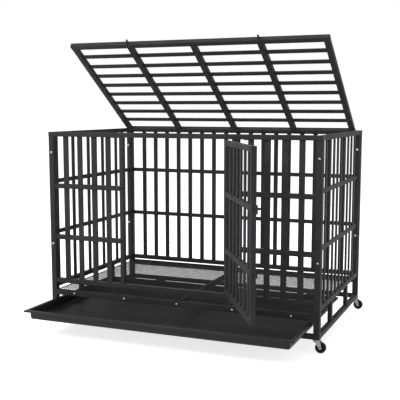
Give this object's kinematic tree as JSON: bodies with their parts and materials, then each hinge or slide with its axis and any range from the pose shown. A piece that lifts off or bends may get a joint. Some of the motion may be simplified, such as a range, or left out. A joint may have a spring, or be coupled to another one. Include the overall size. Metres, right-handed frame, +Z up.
{
  "type": "dog crate",
  "caption": "Heavy duty steel dog crate on swivel casters with a hinged barred lid, a hinged front door with slide bolts, a mesh floor and a slide-out tray.",
  "frame": {"origin": "on the ground, under the middle of the frame's four posts", "axes": "+Z up, -Y towards the front where the door and the tray open, +X to the right seen from the front"},
  "size_m": [1.248, 1.1991, 1.2488],
  "materials": {
    "coat": "satin charcoal powder coat on steel tube and flat bar",
    "zinc": "bright zinc plated steel",
    "caster_steel": "dull zinc plated pressed steel",
    "tray_plastic": "moulded charcoal plastic with a fine satin grain",
    "wheel": "matt black wheel",
    "plug_plastic": "black push-in plug"
  },
  "bodies": {
    "frame": {"front_left_post": "coat", "front_right_post": "coat", "back_left_post": "coat", "back_right_post": "coat", "front_top_rail": "coat", "back_top_rail": "coat", "left_top_rail": "coat", "right_top_rail": "coat", "top_rail_plugs": "plug_plastic", "lid_rest_tabs": "coat", "front_sill_rail": "coat", "front_floor_rail": "coat", "front_base_rail": "coat", "left_door_jamb": "coat", "right_door_jamb": "coat", "front_left_grille": "coat", "front_right_grille": "coat", "back_bottom_rail": "coat", "back_floor_rail": "coat", "back_base_rail": "coat", "back_grille": "coat", "left_bottom_rail": "coat", "left_base_rail": "coat", "left_grille": "coat", "right_bottom_rail": "coat", "right_base_rail": "coat", "right_grille": "coat", "base_struts": "coat", "floor_mesh": "coat", "floor_screws": "zinc", "corner_bolts": "zinc", "tray_runners": "coat", "lid_hinge_brackets": "coat", "door_hinge_brackets": "coat", "hinge_pins": "zinc", "caster_stems": "caster_steel"},
    "lid": {"lid_front_rail": "coat", "lid_back_rail": "coat", "lid_end_rails": "coat", "lid_dividers": "coat", "lid_bars": "coat", "lid_hinge_straps": "coat"},
    "left_lid_bolt": {"lid_bolt_left": "coat"},
    "right_lid_bolt": {"lid_bolt_right": "coat"},
    "door": {"door_hinge_stile": "coat", "door_latch_stile": "coat", "door_rails": "coat", "door_grille": "coat", "door_hinge_leaves": "coat"},
    "lower_door_bolt": {"door_bolt_lower": "coat"},
    "upper_door_bolt": {"door_bolt_upper": "coat"},
    "slide_out_tray": {"tray": "tray_plastic"},
    "front_left_caster": {"front_left_fork": "caster_steel"},
    "front_left_roller": {"front_left_wheel": "wheel"},
    "front_right_caster": {"front_right_fork": "caster_steel"},
    "front_right_roller": {"front_right_wheel": "wheel"},
    "back_left_caster": {"back_left_fork": "caster_steel"},
    "back_left_roller": {"back_left_wheel": "wheel"},
    "back_right_caster": {"back_right_fork": "caster_steel"},
    "back_right_roller": {"back_right_wheel": "wheel"}
  },
  "joints": [
    {"name": "lid_hinge", "type": "hinge", "parent": "frame", "child": "lid", "pos_m": [0, 0.342, 0.848], "axis": [-1, 0, 0], "range_deg": [-35, 60]},
    {"name": "left_lid_bolt_slide", "type": "slide", "parent": "lid", "child": "left_lid_bolt", "axis": [0, -0.8192, 0.5736], "range_m": [-0.015, 0.015]},
    {"name": "right_lid_bolt_slide", "type": "slide", "parent": "lid", "child": "right_lid_bolt", "axis": [0, -0.8192, 0.5736], "range_m": [-0.015, 0.015]},
    {"name": "door_hinge", "type": "hinge", "parent": "frame", "child": "door", "pos_m": [0.241, -0.39, 0.515], "axis": [0, 0, 1], "range_deg": [-121.5, 45]},
    {"name": "lower_door_bolt_slide", "type": "slide", "parent": "door", "child": "lower_door_bolt", "axis": [0.5225, -0.8526, 0], "range_m": [0, 0.021]},
    {"name": "upper_door_bolt_slide", "type": "slide", "parent": "door", "child": "upper_door_bolt", "axis": [0.5225, -0.8526, 0], "range_m": [0, 0.021]},
    {"name": "tray_slide", "type": "slide", "parent": "frame", "child": "slide_out_tray", "axis": [0, 1, 0], "range_m": [-0.38, 0.263]},
    {"name": "front_left_swivel", "type": "hinge", "parent": "frame", "child": "front_left_caster", "pos_m": [-0.5975, -0.3715, 0.0475], "axis": [0, 0, 1], "continuous": true},
    {"name": "front_left_wheel_spin", "type": "hinge", "parent": "front_left_caster", "child": "front_left_roller", "pos_m": [-0.5815, -0.3715, 0.022], "axis": [0, 1, 0], "continuous": true},
    {"name": "front_right_swivel", "type": "hinge", "parent": "frame", "child": "front_right_caster", "pos_m": [0.5975, -0.3715, 0.0475], "axis": [0, 0, 1], "continuous": true},
    {"name": "front_right_wheel_spin", "type": "hinge", "parent": "front_right_caster", "child": "front_right_roller", "pos_m": [0.6135, -0.3715, 0.022], "axis": [0, 1, 0], "continuous": true},
    {"name": "back_left_swivel", "type": "hinge", "parent": "frame", "child": "back_left_caster", "pos_m": [-0.5975, 0.3715, 0.0475], "axis": [0, 0, 1], "continuous": true},
    {"name": "back_left_wheel_spin", "type": "hinge", "parent": "back_left_caster", "child": "back_left_roller", "pos_m": [-0.5815, 0.3715, 0.022], "axis": [0, 1, 0], "continuous": true},
    {"name": "back_right_swivel", "type": "hinge", "parent": "frame", "child": "back_right_caster", "pos_m": [0.5975, 0.3715, 0.0475], "axis": [0, 0, 1], "continuous": true},
    {"name": "back_right_wheel_spin", "type": "hinge", "parent": "back_right_caster", "child": "back_right_roller", "pos_m": [0.6135, 0.3715, 0.022], "axis": [0, 1, 0], "continuous": true}
  ]
}
